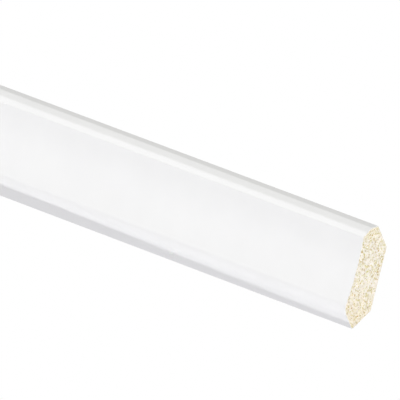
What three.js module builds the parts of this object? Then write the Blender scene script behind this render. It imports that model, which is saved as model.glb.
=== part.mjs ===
// An inside corner moulding: a straight length of small sprung moulding that closes
// the corner between a wall and a ceiling. A milled fibreboard core is wrapped on its
// face in a thin white foil, and the foil is turned a little way onto both contact faces.
//
// Millimetres, +Z up. X runs along the moulding, the wall is the plane y = 0 on the +Y
// side, and the ceiling is a plane above. The origin is the middle of the foil strip
// that touches the wall.
//
// The section is drawn in room measures: out from the wall, and down from the ceiling.

import * as THREE from "three";

// Overall sizes.
const LENGTH = 220;
const PROJECTION = 29.9;
const DROP = 28.85;

// The two faces that touch the room, each measured across the section from the edge
// of the face that shows to the edge of the diagonal back.
const CEILING_CONTACT = 10.2;
const WALL_CONTACT = 10.3;

// The foil: its thickness, and how far it is turned onto each contact face.
const FOIL_THICKNESS = 0.2;
const FOIL_RETURN = 4;

// The bevel that leads from the ceiling to the upright fascia.
const BEVEL_SETBACK = 1.4;
const BEVEL_DROP = 3;
const CEILING_EDGE_RADIUS = 0.4;
const BEVEL_EDGE_RADIUS = 1.2;

// The fascia is upright as far as the bend, and from there leans back to the crease.
const BEND_DROP = 5.9;
const BEND_RADIUS = 8;
const CREASE_DROP = 8.2;
const CREASE_SETBACK = 0.35;
const CREASE_RADIUS = 0.35;

// Below the crease: a long shallow hollow, a round, the level underside and the toe.
const HOLLOW_RADIUS = 105;
const ROUND_RADIUS = 6.5;
const UNDERSIDE_WIDTH = 6.6;
const TOE_RADIUS = 0.5;

// The most that one facet of a round may turn, and of the hollow, in radians.
const ROUND_FACET = THREE.MathUtils.degToRad(5);
const HOLLOW_FACET = THREE.MathUtils.degToRad(0.75);

const quarterTurn = Math.PI / 2;
const point = (out, down) => new THREE.Vector2(out, down);

// The planes of the core lie one foil behind the planes of the finished moulding.
const coreWall = FOIL_THICKNESS;
const coreCeiling = FOIL_THICKNESS;
const coreFascia = PROJECTION - FOIL_THICKNESS;
const coreUnderside = DROP - FOIL_THICKNESS;

// The direction that lies a quarter turn from a given one, towards the wall when the
// given one runs down the face of the moulding.
function inward(direction) {
  return point(-direction.y, direction.x);
}

// The centre of the circle that touches both lines through a corner, from inside.
function cornerCentre(corner, before, after, radius) {
  const back = before.clone().sub(corner).normalize();
  const onward = after.clone().sub(corner).normalize();
  const halfAngle = Math.acos(back.dot(onward)) / 2;
  const middle = back.add(onward).normalize();
  return corner.clone().addScaledVector(middle, radius / Math.sin(halfAngle));
}

// The points of an arc with the direction that the surface faces at each of them.
// facing is 1 where the surface faces away from the centre and -1 where it faces it.
function arc(centre, radius, from, to, facet, facing = 1) {
  const steps = Math.max(2, Math.ceil(Math.abs(to - from) / facet));
  const stations = [];
  for (let i = 0; i <= steps; i++) {
    const angle = from + ((to - from) * i) / steps;
    const away = point(Math.cos(angle), Math.sin(angle));
    stations.push({
      at: centre.clone().addScaledVector(away, radius),
      faces: away.multiplyScalar(facing),
    });
  }
  return stations;
}

// The crossing of two circles that lies further out and down, clear of the core.
function outerCrossing(first, firstRadius, second, secondRadius) {
  const line = second.clone().sub(first);
  const gap = line.length();
  const along = (gap ** 2 + firstRadius ** 2 - secondRadius ** 2) / (2 * gap);
  const across = Math.sqrt(firstRadius ** 2 - along ** 2);
  line.normalize();
  const foot = first.clone().addScaledVector(line, along);
  const sides = [across, -across].map((reach) => foot.clone().addScaledVector(inward(line), reach));
  return sides[0].x + sides[0].y > sides[1].x + sides[1].y ? sides[0] : sides[1];
}

// Where a line, followed from a point, comes to a given distance from a centre first.
function reachOnLine(start, direction, centre, distance) {
  const across = start.clone().sub(centre);
  const middle = -across.dot(direction);
  const closest = across.lengthSq() - middle ** 2;
  return start.clone().addScaledVector(direction, middle - Math.sqrt(distance ** 2 - closest));
}

// The front of the core, from the ceiling down to the wall.
function coreFront() {
  const bevelTop = point(coreFascia - BEVEL_SETBACK, coreCeiling);
  const bevelFoot = point(coreFascia, BEVEL_DROP);
  const bend = point(coreFascia, BEND_DROP);
  const crease = point(coreFascia - CREASE_SETBACK, CREASE_DROP);
  const toe = point(coreWall, coreUnderside);

  const bevelFaces = inward(bevelFoot.clone().sub(bevelTop).normalize()).negate().angle();
  const leanDirection = crease.clone().sub(bend).normalize();
  const leanFaces = inward(leanDirection).negate().angle();

  const ceilingEdge = cornerCentre(bevelTop, point(0, coreCeiling), bevelFoot, CEILING_EDGE_RADIUS);
  const bevelEdge = cornerCentre(bevelFoot, bevelTop, bend, BEVEL_EDGE_RADIUS);
  const bendCentre = cornerCentre(bend, bevelFoot, crease, BEND_RADIUS);
  const roundCentre = point(UNDERSIDE_WIDTH, coreUnderside - ROUND_RADIUS);
  const toeCentre = toe.clone().add(point(TOE_RADIUS, -TOE_RADIUS));

  // The hollow passes through the crease and runs smoothly into the round.
  const hollowCentre = outerCrossing(crease, HOLLOW_RADIUS, roundCentre, HOLLOW_RADIUS + ROUND_RADIUS);
  const creaseCentre = reachOnLine(
    bend.clone().addScaledVector(inward(leanDirection), CREASE_RADIUS),
    leanDirection,
    hollowCentre,
    HOLLOW_RADIUS + CREASE_RADIUS,
  );
  const hollowTop = hollowCentre.clone().sub(creaseCentre).angle();
  const hollowFoot = hollowCentre.clone().sub(roundCentre).angle();

  return [
    ...arc(ceilingEdge, CEILING_EDGE_RADIUS, -quarterTurn, bevelFaces - 2 * Math.PI, ROUND_FACET),
    ...arc(bevelEdge, BEVEL_EDGE_RADIUS, bevelFaces - 2 * Math.PI, 0, ROUND_FACET),
    ...arc(bendCentre, BEND_RADIUS, 0, leanFaces, ROUND_FACET),
    ...arc(creaseCentre, CREASE_RADIUS, leanFaces, hollowTop, ROUND_FACET),
    ...arc(hollowCentre, HOLLOW_RADIUS, hollowTop + Math.PI, hollowFoot + Math.PI, HOLLOW_FACET, -1),
    ...arc(roundCentre, ROUND_RADIUS, hollowFoot, quarterTurn, ROUND_FACET),
    ...arc(toeCentre, TOE_RADIUS, quarterTurn, 2 * quarterTurn, ROUND_FACET),
  ];
}

// Stations that share a place, where one arc ends and the next begins, are kept once.
function withoutRepeats(stations) {
  const tolerance = 1e-6;
  return stations.filter((station, i) => i === 0 || station.at.distanceTo(stations[i - 1].at) > tolerance);
}

// The section's outlines, as places out from the wall and down from the ceiling.
const front = withoutRepeats(coreFront());
const ceilingEdgeStart = front[0].at;
const toeEnd = front[front.length - 1].at;

// The foil starts on the ceiling face, lies on the whole front and ends on the wall face.
const wrapped = [
  { at: ceilingEdgeStart.clone().add(point(-FOIL_RETURN, 0)), faces: point(0, -1) },
  ...front,
  { at: toeEnd.clone().add(point(0, -FOIL_RETURN)), faces: point(-1, 0) },
];
const foilInside = wrapped.map((station) => station.at);
const foilOutside = wrapped.map((station) =>
  station.at.clone().addScaledVector(station.faces, FOIL_THICKNESS),
);

// The back of the core runs straight from one contact face to the other.
const backAtWall = toeEnd.clone().add(point(0, -WALL_CONTACT));
const backAtCeiling = ceilingEdgeStart.clone().add(point(-CEILING_CONTACT, 0));
const coreOutline = [...foilInside, backAtWall, backAtCeiling];
const foilOutline = [...foilOutside, ...foilInside.slice().reverse()];

// The origin's place in room measures: on the wall, at the middle of the foil strip.
const originDown = toeEnd.y - FOIL_RETURN / 2;

// One piece: its outline swept along X, square at both ends.
function run(name, outline, material) {
  const section = new THREE.Shape(
    outline.map((place) => point(-place.x, originDown - place.y)),
  );
  const geometry = new THREE.ExtrudeGeometry(section, { depth: LENGTH, bevelEnabled: false });
  const mesh = new THREE.Mesh(geometry, material);
  mesh.name = name;
  return mesh;
}

const fibreboard = new THREE.MeshStandardMaterial({ color: 0xeee7d2, roughness: 0.85, metalness: 0 });
const whiteFoil = new THREE.MeshStandardMaterial({ color: 0xf4f4f3, roughness: 0.38, metalness: 0 });

// The section is drawn across and up, so its depth is turned to lie along X.
const lengthwise = new THREE.Group();
lengthwise.rotation.set(quarterTurn, quarterTurn, 0);
lengthwise.position.x = -LENGTH / 2;
lengthwise.add(run("fibreboard_core", coreOutline, fibreboard));
lengthwise.add(run("white_foil_wrap", foilOutline, whiteFoil));

const group = new THREE.Group();
group.add(lengthwise);

export default group;
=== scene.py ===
# %% [markdown]
# # A small inside corner moulding
#
# The real object is a strip of pale fibreboard, milled to a profile and wrapped in a thin white foil. It
# is a sprung moulding: its back is a diagonal, and only two narrow chamfers touch the wall and the
# ceiling. One end is cut square with a saw, so that the bare board shows. This lesson dresses the
# finished solid model of it: the solids give the size and the place, and the pieces made here give the
# surfaces.

# %% Load the solid model
import math

import bpy
from mathutils import Matrix, Vector


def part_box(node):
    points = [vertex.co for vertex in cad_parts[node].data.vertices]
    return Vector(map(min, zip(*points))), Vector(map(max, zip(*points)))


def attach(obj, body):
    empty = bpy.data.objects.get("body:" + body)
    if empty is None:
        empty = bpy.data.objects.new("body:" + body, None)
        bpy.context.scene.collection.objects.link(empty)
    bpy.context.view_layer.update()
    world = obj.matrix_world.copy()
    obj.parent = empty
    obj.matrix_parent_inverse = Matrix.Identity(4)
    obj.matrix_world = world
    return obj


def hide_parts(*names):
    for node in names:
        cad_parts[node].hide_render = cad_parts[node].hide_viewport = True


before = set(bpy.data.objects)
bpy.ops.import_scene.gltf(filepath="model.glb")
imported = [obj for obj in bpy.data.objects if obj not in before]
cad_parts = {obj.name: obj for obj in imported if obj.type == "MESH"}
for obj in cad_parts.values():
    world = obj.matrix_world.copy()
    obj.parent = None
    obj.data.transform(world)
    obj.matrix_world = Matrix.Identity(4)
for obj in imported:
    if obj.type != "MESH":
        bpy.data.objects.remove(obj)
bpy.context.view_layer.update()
MM = 0.001

# %% [markdown]
# Every size that the solids already state is read from them, so that nothing has to be fitted by eye. The
# foil is the outermost skin, and the difference between its box and the core's box is its thickness.

# %% Sizes read from the solids
core_low, core_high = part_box("fibreboard_core")
foil_low, foil_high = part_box("white_foil_wrap")
foil_thickness = core_low.y - foil_low.y
length = foil_high.x - foil_low.x
wall_y = foil_high.y
ceiling_z = foil_high.z
projection = (wall_y - foil_low.y) / MM
drop = (ceiling_z - foil_low.z) / MM
print("the foil is", round(foil_thickness / MM, 3), "mm thick")
print("the moulding is", round(projection, 2), "mm out from the wall and", round(drop, 2), "mm down")

# %% [markdown]
# ## Camera
#
# The picture was taken from far off with a long lens, because the moulding's long edges stay almost
# parallel. A lens that sees only 1.2 degrees, from seven metres away, draws them the same way. The
# moulding hangs near a ceiling, so the camera looks up at it, and it is rolled so that the face stands
# upright in the picture.

# %% Camera
FIELD_OF_VIEW = math.radians(1.2)
AZIMUTH = math.radians(48.05)
ELEVATION = math.radians(-25.35)
ROLL = math.radians(46.05)
DISTANCE = 7.230
AIM = Vector((17.79, -17.47, 16.18)) * MM


def direction(azimuth, elevation):
    """The direction from the moulding to a place seen at that azimuth and elevation."""
    level = math.cos(elevation)
    return Vector((math.sin(azimuth) * level, -math.cos(azimuth) * level, math.sin(elevation)))


camera_data = bpy.data.cameras.new("camera")
camera_data.lens = camera_data.sensor_width / 2 / math.tan(FIELD_OF_VIEW / 2)
camera_data.clip_start = 0.1
camera_data.clip_end = 100
camera = bpy.data.objects.new("camera", camera_data)
bpy.context.collection.objects.link(camera)
towards_camera = direction(AZIMUTH, ELEVATION)
level_camera = towards_camera.to_track_quat("Z", "Y").to_matrix().to_4x4()
camera.matrix_world = (
    Matrix.Translation(AIM + towards_camera * DISTANCE)
    @ level_camera
    @ Matrix.Rotation(ROLL, 4, "Z")
)
bpy.context.scene.camera = camera
print("lens", round(camera_data.lens), "mm at", [round(place, 3) for place in camera.location], "m")

# %% [markdown]
# ## The section
#
# A moulding is made by a cutter that leaves one and the same section all along, so the section is drawn
# first. It could be traced from the solid's facets, but its rounds would then keep their flats. It is
# drawn again here from its own sizes: straight runs are extruded from a point, and each round is spun
# about its own centre. Places in the section are given as the distance out from the wall and the distance
# down from the ceiling.

# %% Sizes of the section, in millimetres
CEILING_CONTACT = 10.2
WALL_CONTACT = 10.3
FOIL_RETURN = 4.0
BEVEL_SETBACK = 1.4
BEVEL_DROP = 3.0
CEILING_EDGE_RADIUS = 0.4
BEVEL_EDGE_RADIUS = 1.2
BEND_DROP = 5.9
BEND_RADIUS = 8.0
CREASE_DROP = 8.2
CREASE_SETBACK = 0.35
CREASE_RADIUS = 0.35
HOLLOW_RADIUS = 105.0
ROUND_RADIUS = 6.5
UNDERSIDE_WIDTH = 6.6
TOE_RADIUS = 0.5
skin = foil_thickness / MM


def place(out, down):
    """A place in the section, as millimetres out from the wall and down from the ceiling."""
    return Vector((out, down))


def facing(angle):
    """The direction at that angle: 0 faces out from the wall, and a quarter turn faces down."""
    return Vector((math.cos(angle), math.sin(angle)))


def angle_of(vector):
    return math.atan2(vector.y, vector.x)


def corner_centre(corner, before, after, radius):
    """The centre of the round of that radius that touches both lines through a corner."""
    back = (before - corner).normalized()
    onward = (after - corner).normalized()
    middle = (back + onward).normalized()
    return corner + middle * (radius / math.sin(back.angle(onward) / 2))


# %% Corners and centres of the section
fascia = projection - skin
underside = drop - skin
bevel_top = place(fascia - BEVEL_SETBACK, skin)
bevel_foot = place(fascia, BEVEL_DROP)
bend = place(fascia, BEND_DROP)
crease = place(fascia - CREASE_SETBACK, CREASE_DROP)

ceiling_edge_centre = corner_centre(bevel_top, place(0, skin), bevel_foot, CEILING_EDGE_RADIUS)
bevel_edge_centre = corner_centre(bevel_foot, bevel_top, bend, BEVEL_EDGE_RADIUS)
bend_centre = corner_centre(bend, bevel_foot, crease, BEND_RADIUS)
round_centre = place(UNDERSIDE_WIDTH, underside - ROUND_RADIUS)
toe_centre = place(skin + TOE_RADIUS, underside - TOE_RADIUS)

# The hollow's centre is one hollow radius from the crease, and as far from the round's centre as lets the two
# curves touch.
crease_to_round = round_centre - crease
gap = crease_to_round.length
reach = HOLLOW_RADIUS + ROUND_RADIUS
along = (gap**2 + HOLLOW_RADIUS**2 - reach**2) / (2 * gap)
across = math.sqrt(HOLLOW_RADIUS**2 - along**2)
down_the_hollow = crease_to_round.normalized()
out_of_the_hollow = Vector((down_the_hollow.y, -down_the_hollow.x))
hollow_centre = crease + down_the_hollow * along + out_of_the_hollow * across

# The crease is eased by a small round between the leaning face above it and the hollow.
lean = (crease - bend).normalized()
into_the_board = Vector((-lean.y, lean.x))
lean_start = bend + into_the_board * CREASE_RADIUS
from_hollow = lean_start - hollow_centre
run_to_nearest = -from_hollow.dot(lean)
nearest_squared = from_hollow.length_squared - run_to_nearest**2
lean_run = run_to_nearest - math.sqrt((HOLLOW_RADIUS + CREASE_RADIUS) ** 2 - nearest_squared)
crease_centre = lean_start + lean * lean_run

bevel_angle = -angle_of(Vector((bevel_foot.y - bevel_top.y, BEVEL_SETBACK)))
lean_angle = angle_of(-into_the_board)
hollow_top_angle = angle_of(hollow_centre - crease_centre)
hollow_foot_angle = angle_of(hollow_centre - round_centre)
print(
    "the face turns, in degrees:",
    [round(math.degrees(a), 1) for a in (bevel_angle, lean_angle, hollow_top_angle, hollow_foot_angle)],
)

# %% [markdown]
# The outline is one list of moves. A line goes straight to a place, and a turn follows a round about its
# centre. In edit mode a plane is merged to a single point, which is then extruded along each line and
# spun round each turn. Working this way leaves only the points that the shape needs.

# %% Draw the outline
ROUND_STEP = math.radians(2)
HOLLOW_STEP = math.radians(0.4)
quarter = math.pi / 2

ceiling_edge_start = place(ceiling_edge_centre.x, skin)
toe_end = place(skin, toe_centre.y)
back_at_ceiling = ceiling_edge_start - place(CEILING_CONTACT, 0)
back_at_wall = toe_end - place(0, WALL_CONTACT)
foil_start = ceiling_edge_start - place(FOIL_RETURN, 0)
foil_end = toe_end - place(0, FOIL_RETURN)

MOVES = [
    ("line", foil_start),
    ("line", ceiling_edge_start),
    ("turn", ceiling_edge_centre, bevel_angle + quarter, ROUND_STEP),
    ("line", bevel_edge_centre + facing(bevel_angle) * BEVEL_EDGE_RADIUS),
    ("turn", bevel_edge_centre, -bevel_angle, ROUND_STEP),
    ("line", bend_centre + facing(0) * BEND_RADIUS),
    ("turn", bend_centre, lean_angle, ROUND_STEP),
    ("line", crease_centre + facing(lean_angle) * CREASE_RADIUS),
    ("turn", crease_centre, hollow_top_angle - lean_angle, ROUND_STEP),
    ("turn", hollow_centre, hollow_foot_angle - hollow_top_angle, HOLLOW_STEP),
    ("turn", round_centre, quarter - hollow_foot_angle, ROUND_STEP),
    ("line", place(toe_centre.x, underside)),
    ("turn", toe_centre, quarter, ROUND_STEP),
    ("line", foil_end),
    ("line", back_at_wall),
]


def in_scene(spot, x):
    """A place of the section as a place in the scene, in metres, on the cut at x."""
    return Vector((x, wall_y - spot.x * MM, ceiling_z - spot.y * MM))


def select_only(piece):
    """Leaves one object selected and active, because an operator acts on all that is selected."""
    bpy.ops.object.select_all(action="DESELECT")
    piece.select_set(True)
    bpy.context.view_layer.objects.active = piece


def draw_outline(name):
    """Draws the section's outline on the left end, from the top of the back to its foot."""
    start = in_scene(back_at_ceiling, foil_low.x)
    bpy.ops.object.select_all(action="DESELECT")
    bpy.ops.mesh.primitive_plane_add(size=MM, location=start)
    outline = bpy.context.object
    outline.name = name
    bpy.ops.object.transform_apply(location=True, rotation=True, scale=True)
    bpy.ops.object.mode_set(mode="EDIT")
    bpy.ops.mesh.select_mode(type="VERT")
    bpy.ops.mesh.select_all(action="SELECT")
    bpy.ops.mesh.merge(type="CENTER")
    here = start
    for kind, spot, *turn in MOVES:
        target = in_scene(spot, foil_low.x)
        if kind == "line":
            bpy.ops.mesh.extrude_region_move(TRANSFORM_OT_translate={"value": target - here})
            here = target
            continue
        angle, step = turn
        steps = max(2, math.ceil(abs(angle) / step))
        bpy.ops.mesh.spin(steps=steps, angle=-angle, center=target, axis=(1, 0, 0))
        here = target + Matrix.Rotation(angle, 3, "X") @ (here - target)
    bpy.ops.object.mode_set(mode="OBJECT")
    return outline


core = draw_outline("fibreboard_milled")
foil = draw_outline("foil_wrap_satin")
print("each outline has", len(core.data.vertices), "points")

# %% [markdown]
# ## The fibreboard core
#
# The board is pressed from fine wood grains, and milling leaves its long faces smooth. The saw leaves the
# ends open, with grains standing and grains torn out. Bump in a material could suggest that, but the ends
# are what the eye goes to here, so their grains are real relief. The outline is closed to a face, and the
# face is cut into a fine grid by bisecting it both ways along the slope, so that the relief has points to
# move.

# %% Close the outline and cut the end into a grid
GRID = 0.15 * MM
TOUCHING = 0.01 * MM
CUT_TOLERANCE = 1e-7
SLOPE = Vector((0, -1, 1)).normalized()
ACROSS = Vector((0, 1, 1)).normalized()


def select_where(piece, test):
    """Selects the points of a piece that pass the test, and leaves the piece in edit mode."""
    select_only(piece)
    bpy.ops.object.mode_set(mode="EDIT")
    bpy.ops.mesh.select_mode(type="VERT")
    bpy.ops.mesh.select_all(action="DESELECT")
    bpy.ops.object.mode_set(mode="OBJECT")
    for vertex in piece.data.vertices:
        vertex.select = test(vertex.co)
    bpy.ops.object.mode_set(mode="EDIT")


back_edges = [in_scene(back_at_ceiling, foil_low.x), in_scene(back_at_wall, foil_low.x)]


def on_back_edge(co):
    """True at the two points of the outline where the bare back begins and ends."""
    return min((co - edge).length for edge in back_edges) < TOUCHING


select_where(core, on_back_edge)
bpy.ops.mesh.edge_face_add()
bpy.ops.mesh.select_all(action="SELECT")
bpy.ops.mesh.edge_face_add()

for way in (SLOPE, ACROSS):
    heights = [way.dot(vertex.co) for vertex in core.data.vertices]
    cuts = math.floor((max(heights) - min(heights)) / GRID)
    for cut in range(1, cuts + 1):
        bpy.ops.mesh.select_all(action="SELECT")
        on_plane = way * (min(heights) + cut * GRID)
        bpy.ops.mesh.bisect(plane_co=on_plane, plane_no=way, threshold=CUT_TOLERANCE)
bpy.ops.object.mode_set(mode="OBJECT")
print("the cut end has", len(core.data.polygons), "faces")

# %% Pull the core out to its length
bpy.ops.object.mode_set(mode="EDIT")
bpy.ops.mesh.select_all(action="SELECT")
bpy.ops.mesh.extrude_region_move(TRANSFORM_OT_translate={"value": (length, 0, 0)})
bpy.ops.mesh.select_all(action="SELECT")
bpy.ops.mesh.normals_make_consistent(inside=False)
bpy.ops.object.mode_set(mode="OBJECT")
print("the core has", len(core.data.polygons), "faces")

# %% [markdown]
# Two reliefs are laid over each other: rounded pits as wide as a grain, where grains came out, and a
# slower unevenness from the saw. Both are textures that a Displace modifier reads at each point. They
# only push inwards, because the saw's cut is the furthest that the board can reach.

# %% Saw the ends
PIT_SIZE = 0.45 * MM
PIT_DEPTH = 0.09 * MM
WAVER_SIZE = 2.5 * MM
WAVER_DEPTH = 0.05 * MM
AT_THE_END = 0.2 * MM
SHARP_EDGE = math.radians(35)

pits = bpy.data.textures.new("torn_grains", "VORONOI")
pits.noise_scale = PIT_SIZE
waver = bpy.data.textures.new("saw_waver", "CLOUDS")
waver.noise_scale = WAVER_SIZE


def push_in(piece, texture, depth, at_x, sign):
    """Pushes the points of one end inwards, by as much as the texture says and no more than depth."""
    group = piece.vertex_groups.new(name="cut_end")
    cut = [v.index for v in piece.data.vertices if abs(v.co.x - at_x) < AT_THE_END]
    group.add(cut, 1, "REPLACE")
    push = piece.modifiers.new("saw", "DISPLACE")
    push.texture = texture
    push.texture_coords = "LOCAL"
    push.direction = "X"
    push.vertex_group = group.name
    push.mid_level = 0
    push.strength = sign * depth
    select_only(piece)
    bpy.ops.object.modifier_apply(modifier=push.name)
    piece.vertex_groups.clear()


for at_x, sign in ((foil_high.x, -1), (foil_low.x, 1)):
    push_in(core, pits, PIT_DEPTH, at_x, sign)
    push_in(core, waver, WAVER_DEPTH, at_x, sign)
bpy.ops.object.shade_smooth_by_angle(angle=SHARP_EDGE)
reach_x = [vertex.co.x / MM for vertex in core.data.vertices]
print("the ends now lie between", round(min(reach_x), 3), "and", round(max(reach_x), 3), "mm")

# %% [markdown]
# ## The foil
#
# The foil is a printed skin, glued round the face while the board runs through the wrapping line, and
# turned a few millimetres onto both contact faces. It is pulled from its own copy of the outline, without
# the bare back, and Solidify gives it its thickness on the outside. Near each end it has a narrow band of
# small faces, so that the saw can leave its cut edge a little uneven.

# %% Take the bare back off the foil's outline, and divide the rest
FOIL_GRID = 0.25 * MM
MOST_HALVINGS = 6
select_where(foil, on_back_edge)
bpy.ops.mesh.delete(type="VERT")
for _ in range(MOST_HALVINGS):
    bpy.ops.mesh.select_all(action="DESELECT")
    bpy.ops.object.mode_set(mode="OBJECT")
    long_edges = 0
    for edge in foil.data.edges:
        first, second = (foil.data.vertices[i].co for i in edge.vertices)
        edge.select = (first - second).length > FOIL_GRID
        long_edges += edge.select
    bpy.ops.object.mode_set(mode="EDIT")
    bpy.ops.mesh.select_mode(type="EDGE")
    if long_edges:
        bpy.ops.mesh.subdivide(number_cuts=1)
bpy.ops.object.mode_set(mode="OBJECT")
print("the foil's outline has", len(foil.data.vertices), "points")

# %% Pull the foil out to its length and give it its thickness
END_BAND = 0.4 * MM
bpy.ops.object.mode_set(mode="EDIT")
bpy.ops.mesh.select_mode(type="VERT")
bpy.ops.mesh.select_all(action="SELECT")
for run in (END_BAND, length - 2 * END_BAND, END_BAND):
    bpy.ops.mesh.extrude_region_move(TRANSFORM_OT_translate={"value": (run, 0, 0)})
bpy.ops.mesh.select_all(action="SELECT")
bpy.ops.mesh.normals_make_consistent(inside=False)
bpy.ops.object.mode_set(mode="OBJECT")
fascia_face = max(foil.data.polygons, key=lambda face: -face.center.y)
print("the foil's fascia faces", [round(part, 2) for part in fascia_face.normal])

RAGGED_SIZE = 0.8 * MM
RAGGED_DEPTH = 0.08 * MM
ragged = bpy.data.textures.new("foil_cut", "CLOUDS")
ragged.noise_scale = RAGGED_SIZE
for at_x, sign in ((foil_high.x, -1), (foil_low.x, 1)):
    push_in(foil, ragged, RAGGED_DEPTH, at_x, sign)

thicken = foil.modifiers.new("thickness", "SOLIDIFY")
thicken.thickness = foil_thickness
thicken.offset = 1 if fascia_face.normal.y < 0 else -1
thicken.use_even_offset = True
select_only(foil)
bpy.ops.object.modifier_apply(modifier=thicken.name)
bpy.ops.object.shade_smooth_by_angle(angle=SHARP_EDGE)
print("the foil has", len(foil.data.polygons), "faces")

# %% [markdown]
# ## Materials
#
# Colours are written as a screen shows them, and one function turns them into the linear values that
# light is reckoned in. One more function adds a node, sets its options and fills its inputs with values
# or links. The rest are short names for the nodes that both materials use most. Every pattern is placed
# by the object's own coordinates in metres, so its scale is worked out from the real size of what it
# stands for.

# %% Colour and node helpers
def colour(hex_code):
    """A screen colour as linear red, green, blue and opacity."""
    parts = [int(hex_code[i : i + 2], 16) / 255 for i in (1, 3, 5)]
    return [p / 12.92 if p <= 0.04045 else ((p + 0.055) / 1.055) ** 2.4 for p in parts] + [1.0]


def add(tree, kind, inputs=None, **settings):
    """Adds a node; an input given as a socket is linked, and anything else is its value."""
    node = tree.nodes.new(kind)
    for name, value in settings.items():
        setattr(node, name, value)
    for name, value in (inputs or {}).items():
        if isinstance(value, bpy.types.NodeSocket):
            tree.links.new(value, node.inputs[name])
        else:
            node.inputs[name].default_value = value
    return node


def new_material(name):
    """An empty material's nodes, with its output and the coordinates that its patterns follow."""
    material = bpy.data.materials.new(name)
    material.use_nodes = True
    tree = material.node_tree
    tree.nodes.clear()
    output = add(tree, "ShaderNodeOutputMaterial")
    where = add(tree, "ShaderNodeTexCoord").outputs["Object"]
    return material, tree, output, where


# %% Short names for the nodes used most
# A Mix node has sockets for every kind of data, and these are the numbers of the ones for colour.
MIX_FIRST, MIX_SECOND, MIX_RESULT = 6, 7, 2
# A noise seldom leaves the middle of the range from 0 to 1.
NOISE_LOW, NOISE_HIGH = 0.3, 0.7


def per_millimetre(count):
    """A pattern's scale, when it repeats that many times in a millimetre."""
    return count / MM


def noise(tree, where, size, detail):
    """Soft noise whose lumps are that many millimetres wide."""
    inputs = {"Vector": where, "Scale": per_millimetre(1 / size), "Detail": detail}
    return add(tree, "ShaderNodeTexNoise", inputs).outputs["Fac"]


def cells(tree, where, size):
    """A pattern of touching cells, each about that many millimetres wide."""
    inputs = {"Vector": where, "Scale": per_millimetre(1 / size)}
    return add(tree, "ShaderNodeTexVoronoi", inputs)


def spread(tree, value, low, high, start=0.0, end=1.0):
    """Turns a value that runs from start to end into one that runs from low to high."""
    inputs = {"Value": value, "From Min": start, "From Max": end, "To Min": low, "To Max": high}
    return add(tree, "ShaderNodeMapRange", inputs).outputs["Result"]


def reckon(tree, operation, *values):
    """A sum on one, two or three values."""
    return add(tree, "ShaderNodeMath", dict(enumerate(values)), operation=operation).outputs["Value"]


def height_along(tree, where, start, way):
    """How far a point lies beyond a start place, measured along one direction."""
    offset = add(tree, "ShaderNodeVectorMath", {0: where, 1: start}, operation="SUBTRACT")
    inputs = {0: offset.outputs["Vector"], 1: way}
    return add(tree, "ShaderNodeVectorMath", inputs, operation="DOT_PRODUCT").outputs["Value"]


def mix(tree, amount, first, second, blend="MIX"):
    """The first colour with some of the second laid over it."""
    inputs = {0: amount, MIX_FIRST: first, MIX_SECOND: second}
    return add(tree, "ShaderNodeMix", inputs, data_type="RGBA", blend_type=blend).outputs[MIX_RESULT]


def tone_ramp(tree, value, tones):
    """Colours along a value, from a list of positions and screen colours."""
    node = add(tree, "ShaderNodeValToRGB", {"Fac": value})
    stops = node.color_ramp.elements
    while len(stops) < len(tones):
        stops.new(1.0)
    for stop, (position, tone) in zip(stops, tones):
        stop.position = position
        stop.color = colour(tone)
    return node.outputs["Color"]


# %% [markdown]
# The foil is a thin paper and resin film with a satin lacquer, rolled on white. Up close it isn't
# perfectly flat: the grains of the board telegraph through it as a very fine orange peel, and the
# wrapping rollers leave faint streaks along the length. Both are a few thousandths of a millimetre deep,
# so they are bump. The lacquer is glossier along some streaks than others. It mirrors the soft panels as
# broad, blurred bands, and they are what tells the eye that the hollow is hollow.

# %% White foil
PEEL_SIZE = 0.9
PEEL_DEPTH = 0.003 * MM
STREAK_WIDTH = 0.7
STREAK_DEPTH = 0.002 * MM
STREAK_STRETCH = (0.015, 1.0, 1.0)
TONE_PATCH = 14
FOIL_TONES = [(NOISE_LOW, "#f3f3f3"), (NOISE_HIGH, "#f5f5f5")]
SATIN_LOW, SATIN_HIGH = 0.20, 0.25
PLASTIC_IOR = 1.5

white_foil, tree, output, where = new_material("white_wrapping_foil_satin")
drawn_out = add(tree, "ShaderNodeMapping", {"Vector": where, "Scale": STREAK_STRETCH}).outputs["Vector"]
peel = noise(tree, where, PEEL_SIZE, 2.0)
streaks = noise(tree, drawn_out, STREAK_WIDTH, 2.0)
peel_bump = add(tree, "ShaderNodeBump", {"Height": peel, "Distance": PEEL_DEPTH})
foil_bump = add(
    tree,
    "ShaderNodeBump",
    {"Height": streaks, "Distance": STREAK_DEPTH, "Normal": peel_bump.outputs["Normal"]},
)
foil_shader = add(
    tree,
    "ShaderNodeBsdfPrincipled",
    {
        "Base Color": tone_ramp(tree, noise(tree, where, TONE_PATCH, 3.0), FOIL_TONES),
        "Roughness": spread(tree, streaks, SATIN_LOW, SATIN_HIGH, NOISE_LOW, NOISE_HIGH),
        "IOR": PLASTIC_IOR,
        "Normal": foil_bump.outputs["Normal"],
    },
)
tree.links.new(foil_shader.outputs["BSDF"], output.inputs["Surface"])
print(white_foil.name, "has", len(tree.nodes), "nodes")

# %% [markdown]
# The board is light softwood ground to grains about half a millimetre across and pressed with resin. Each
# grain keeps its own tone, from nearly white to straw and tan, and here and there one is bark. A Voronoi
# pattern is a good stand-in for pressed grains: it fills space with touching cells and gives each a
# colour of its own. It is solid, so a grain that the saw cuts at the end runs on into the long faces. The
# red of a cell's colour picks the grain's tone, the green turns its hue a little, and the blue makes it
# paler or richer. Fine dust between the grains and loose clumps of them make the light uneven.

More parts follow.
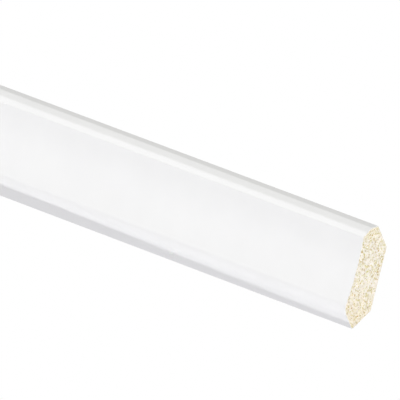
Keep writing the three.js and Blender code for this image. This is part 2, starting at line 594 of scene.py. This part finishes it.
# %% Fibreboard: the grains and their tones
GRAIN_SIZE = 0.5
GRAIN_TONES = [
    (0.00, "#fffaf5"),
    (0.25, "#faf3ea"),
    (0.50, "#f5eede"),
    (0.70, "#ede5cd"),
    (0.86, "#e0d6b4"),
    (0.95, "#d6c99c"),
    (1.00, "#c8b080"),
]
HUE_LOW, HUE_HIGH = 0.478, 0.525
PALE, RICH = 0.7, 1.3

board, tree, output, where = new_material("pressed_softwood_board_sawn")
grains = cells(tree, where, GRAIN_SIZE)
grain_number = add(tree, "ShaderNodeSeparateColor", {"Color": grains.outputs["Color"]})
grain_colour = tone_ramp(tree, grain_number.outputs["Red"], GRAIN_TONES)

# %% Fibreboard: dust and clumps
DUST_SIZE = 0.2
DUST_DARK, DUST_LIGHT = 0.95, 1.05
CLUMP_SIZE = 2.2
CLUMP_DARK, CLUMP_LIGHT = 0.94, 1.05
CLUMP_START, CLUMP_END = 0.35, 0.65
dust_noise = noise(tree, where, DUST_SIZE, 1.0)
dust = spread(tree, dust_noise, DUST_DARK, DUST_LIGHT, NOISE_LOW, NOISE_HIGH)
clump_noise = noise(tree, where, CLUMP_SIZE, 1.0)
clumps = spread(tree, clump_noise, CLUMP_DARK, CLUMP_LIGHT, CLUMP_START, CLUMP_END)
dusty = add(
    tree,
    "ShaderNodeHueSaturation",
    {
        "Color": grain_colour,
        "Hue": spread(tree, grain_number.outputs["Green"], HUE_LOW, HUE_HIGH),
        "Saturation": spread(tree, grain_number.outputs["Blue"], PALE, RICH),
        "Value": reckon(tree, "MULTIPLY", dust, clumps),
    },
).outputs["Color"]

# %% [markdown]
# Pressing packs a board most tightly near its two faces, and resin gathers there, so the board is a touch
# warmer and darker near them. In this section they are the ceiling edge and the toe.

# %% Fibreboard: the denser faces, and bark
HALF_SLOPE = 20 * MM
DENSITY_TINTS = [(0.0, "#fdf8ec"), (0.3, "#fffdfa"), (0.5, "#ffffff"), (0.8, "#ffffff"), (1.0, "#fdfaf0")]
BARK_SPACING = 1.9
BARK_CORE, BARK_EDGE = 0.09, 0.16
BARK_STRENGTH = 0.5
BARK_TONE = "#94795c"

section_middle = in_scene(place(projection / 2, drop / 2), 0)
up_the_slope = height_along(tree, where, section_middle, SLOPE)
toe_to_ceiling = spread(tree, up_the_slope, 0.0, 1.0, -HALF_SLOPE, HALF_SLOPE)
pressed = mix(tree, 1.0, dusty, tone_ramp(tree, toe_to_ceiling, DENSITY_TINTS), "MULTIPLY")
bark = cells(tree, where, BARK_SPACING).outputs["Distance"]
bark_here = spread(tree, bark, BARK_STRENGTH, 0.0, BARK_CORE, BARK_EDGE)
with_bark = mix(tree, bark_here, pressed, colour(BARK_TONE))

# %% [markdown]
# The board is darker within a third of a millimetre of its three bare faces, the back and the two contact
# faces, so on the cut end it shows as a thin darker rim. A point's depth in the board is the largest of its
# heights over the three bare faces, which are all below nothing inside the board.

# %% Fibreboard: a darker rim along the bare faces
# The board's colour is darkened within this depth of the back and the two contact faces.
EDGE_DARKENING_DEPTH = 0.35 * MM
EDGE_DARKENING_STRENGTH = 0.5
EDGE_DARKENING_TONE = "#e3d8be"
back_line = in_scene(back_at_wall, 0) - in_scene(back_at_ceiling, 0)
bare_faces = [
    (in_scene(back_at_wall, 0), Vector((0, -back_line.z, back_line.y)).normalized()),
    (in_scene(toe_end, 0), Vector((0, 1, 0))),
    (in_scene(ceiling_edge_start, 0), Vector((0, 0, 1))),
]
back_height, wall_height, ceiling_height = (
    height_along(tree, where, on_face, outward) for on_face, outward in bare_faces
)
nearest = reckon(tree, "MAXIMUM", reckon(tree, "MAXIMUM", back_height, wall_height), ceiling_height)
edge_darkening_here = spread(tree, nearest, 0.0, EDGE_DARKENING_STRENGTH, -EDGE_DARKENING_DEPTH, 0.0)
face_colour = mix(tree, edge_darkening_here, with_bark, colour(EDGE_DARKENING_TONE))

# %% [markdown]
# The same board is rough where the saw cut it and smooth where the cutter planed it, so the material asks
# how near a point is to an end, and lets the grains stand ten times higher there. The cutter's turns
# leave ripples across the length, a few thousandths of a millimetre deep.

# %% Fibreboard: sawn ends and planed faces
SAWN_FROM = 109.5 * MM
SAWN_TO = 109.8 * MM
GRAIN_HEIGHT = 0.05
PLANED_SHARE = 0.1
RIPPLE = 1.6
RIPPLE_DEPTH = 0.004
ROUGH_LOW, ROUGH_HIGH = 0.82, 0.94

along_x = add(tree, "ShaderNodeSeparateXYZ", {"Vector": where}).outputs["X"]
sawn = spread(tree, reckon(tree, "ABSOLUTE", along_x), 0.0, 1.0, SAWN_FROM, SAWN_TO)
ripple_turn = reckon(tree, "MULTIPLY", along_x, 2 * math.pi * per_millimetre(1 / RIPPLE))
ripple_height = reckon(tree, "MULTIPLY", reckon(tree, "SINE", ripple_turn), RIPPLE_DEPTH / 2)
grain_height = spread(tree, sawn, -PLANED_SHARE * GRAIN_HEIGHT, -GRAIN_HEIGHT)
height = reckon(tree, "MULTIPLY_ADD", grains.outputs["Distance"], grain_height, ripple_height)
board_shader = add(
    tree,
    "ShaderNodeBsdfPrincipled",
    {
        "Base Color": face_colour,
        "Roughness": spread(tree, grain_number.outputs["Green"], ROUGH_LOW, ROUGH_HIGH),
        "IOR": PLASTIC_IOR,
        "Normal": add(tree, "ShaderNodeBump", {"Height": height, "Distance": MM}).outputs["Normal"],
    },
)
tree.links.new(board_shader.outputs["BSDF"], output.inputs["Surface"])
print(board.name, "has", len(tree.nodes), "nodes")

# %% Put each piece in its place
for piece, node, slot, material in (
    (core, "fibreboard_core", "fibreboard", board),
    (foil, "white_foil_wrap", "white_foil", white_foil),
):
    piece.data.materials.clear()
    piece.data.materials.append(material)
    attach(piece, "root")
    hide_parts(node)

# %% [markdown]
# ## Studio
#
# The picture is high key: the background is pure white, and the object is lit from all round, so that its
# faces differ only a little. The surroundings give much of the light, and large soft panels give the
# rest. The camera sees the surroundings brighter than they light the object, which keeps the background
# white.

# %% Surroundings and floor
AMBIENT = 0.404
FLOOR_Z = -3.5
FLOOR_SIZE = 30
FLOOR_WHITE = "#ececeb"
scene = bpy.context.scene
scene.view_settings.view_transform = "Standard"
world = bpy.data.worlds.new("studio")
scene.world = world
world.use_nodes = True
tree = world.node_tree
tree.nodes.clear()
seen = add(tree, "ShaderNodeBackground", {"Color": (1, 1, 1, 1), "Strength": 1.0})
felt = add(tree, "ShaderNodeBackground", {"Color": (1, 1, 1, 1), "Strength": AMBIENT})
from_camera = add(tree, "ShaderNodeLightPath").outputs["Is Camera Ray"]
backgrounds = {0: from_camera, 1: felt.outputs["Background"], 2: seen.outputs["Background"]}
mixed = add(tree, "ShaderNodeMixShader", backgrounds)
add(tree, "ShaderNodeOutputWorld", {"Surface": mixed.outputs["Shader"]})

bpy.ops.object.select_all(action="DESELECT")
bpy.ops.mesh.primitive_plane_add(size=FLOOR_SIZE, location=(0, 0, FLOOR_Z))
floor = bpy.context.object
floor.name = "floor"
floor_paint, tree, output, _ = new_material("floor_paint_matt")
floor_shader = add(tree, "ShaderNodeBsdfPrincipled", {"Base Color": colour(FLOOR_WHITE), "Roughness": 0.9})
tree.links.new(floor_shader.outputs["BSDF"], output.inputs["Surface"])
floor.data.materials.append(floor_paint)

# %% [markdown]
# Each panel is given by the side that it stands on, and a panel's power is worked out from how bright it
# should make a white surface that faces it. The panels on the right, below, above and behind give the
# plain light on the cut end, the underside, the bevel and the back. The other two stand where the foil
# mirrors them to the camera: one brightens the face just above the crease, and one the lower half of the
# hollow.

# %% Soft panels
PANEL_SIZE = 1.33
PANEL_DISTANCE = 3.2


def place_light(kind, name, azimuth, elevation, distance):
    """Adds a light that looks at the moulding from that side, and that the camera doesn't see."""
    towards = direction(math.radians(azimuth), math.radians(elevation))
    bpy.ops.object.select_all(action="DESELECT")
    bpy.ops.object.light_add(type=kind, location=towards * distance)
    light = bpy.context.object
    light.name = name
    light.rotation_euler = towards.to_track_quat("Z", "Y").to_euler()
    light.visible_camera = False
    return light


def panel(name, azimuth, elevation, brightness, tint="#ffffff"):
    """A square soft light that makes a white surface facing it that bright, where 1 is full white."""
    light = place_light("AREA", name, azimuth, elevation, PANEL_DISTANCE)
    light.data.shape = "SQUARE"
    light.data.size = PANEL_SIZE
    light.data.energy = brightness * (math.pi * PANEL_DISTANCE) ** 2
    light.data.color = colour(tint)[:3]


panel("right_panel", 90, -10, 0.412)
panel("under_panel", 170, -60, 0.325, "#f5f4ff")
panel("crease_panel", -40, 10, 0.158, "#fafaff")
panel("hollow_panel", -50, -28, 0.10)
panel("high_panel", 45, 35, 0.274, "#fffef4")
panel("back_panel", 207, 46, 0.35)

# %% [markdown]
# One lamp stands low in front, and its beam is cut off by a barn door. The edge of the beam runs along
# the underside of the moulding, so that the strip next to the wall stays in shade, and the lit part
# widens towards the cut end. A spot's cone is such an edge: it is aimed so that its rim passes through
# two points. A narrow cone would draw a bulging line, so the cone is opened almost flat, and its rim is
# then very nearly straight.

# %% Low lamp with its beam cut off along the underside
BEAM = math.radians(170)
LAMP_DISTANCE = 3.4
LAMP_BRIGHTNESS = 0.266
LAMP_RADIUS = 0.5 * MM
RIM_BLUR = 0.0003
lamp = place_light("SPOT", "low_lamp", 10, -50, LAMP_DISTANCE)
rim_left = Vector((-62, -6.7, -2.70)) * MM
rim_right = Vector((88, -3.3, -2.70)) * MM
to_left = (rim_left - lamp.location).normalized()
to_right = (rim_right - lamp.location).normalized()
middle_ray = (to_left + to_right).normalized()
along_rim = (to_right - to_left).normalized()
aside = math.acos(math.cos(BEAM / 2) / to_left.dot(middle_ray))
aimed = middle_ray * math.cos(aside) + along_rim.cross(middle_ray) * math.sin(aside)
lamp.rotation_euler = aimed.to_track_quat("-Z", "Y").to_euler()
lamp.data.spot_size = BEAM
lamp.data.spot_blend = RIM_BLUR
lamp.data.shadow_soft_size = LAMP_RADIUS
lamp.data.energy = LAMP_BRIGHTNESS * (2 * math.pi * LAMP_DISTANCE) ** 2
print("the lamp's axis points", [round(part, 2) for part in aimed])
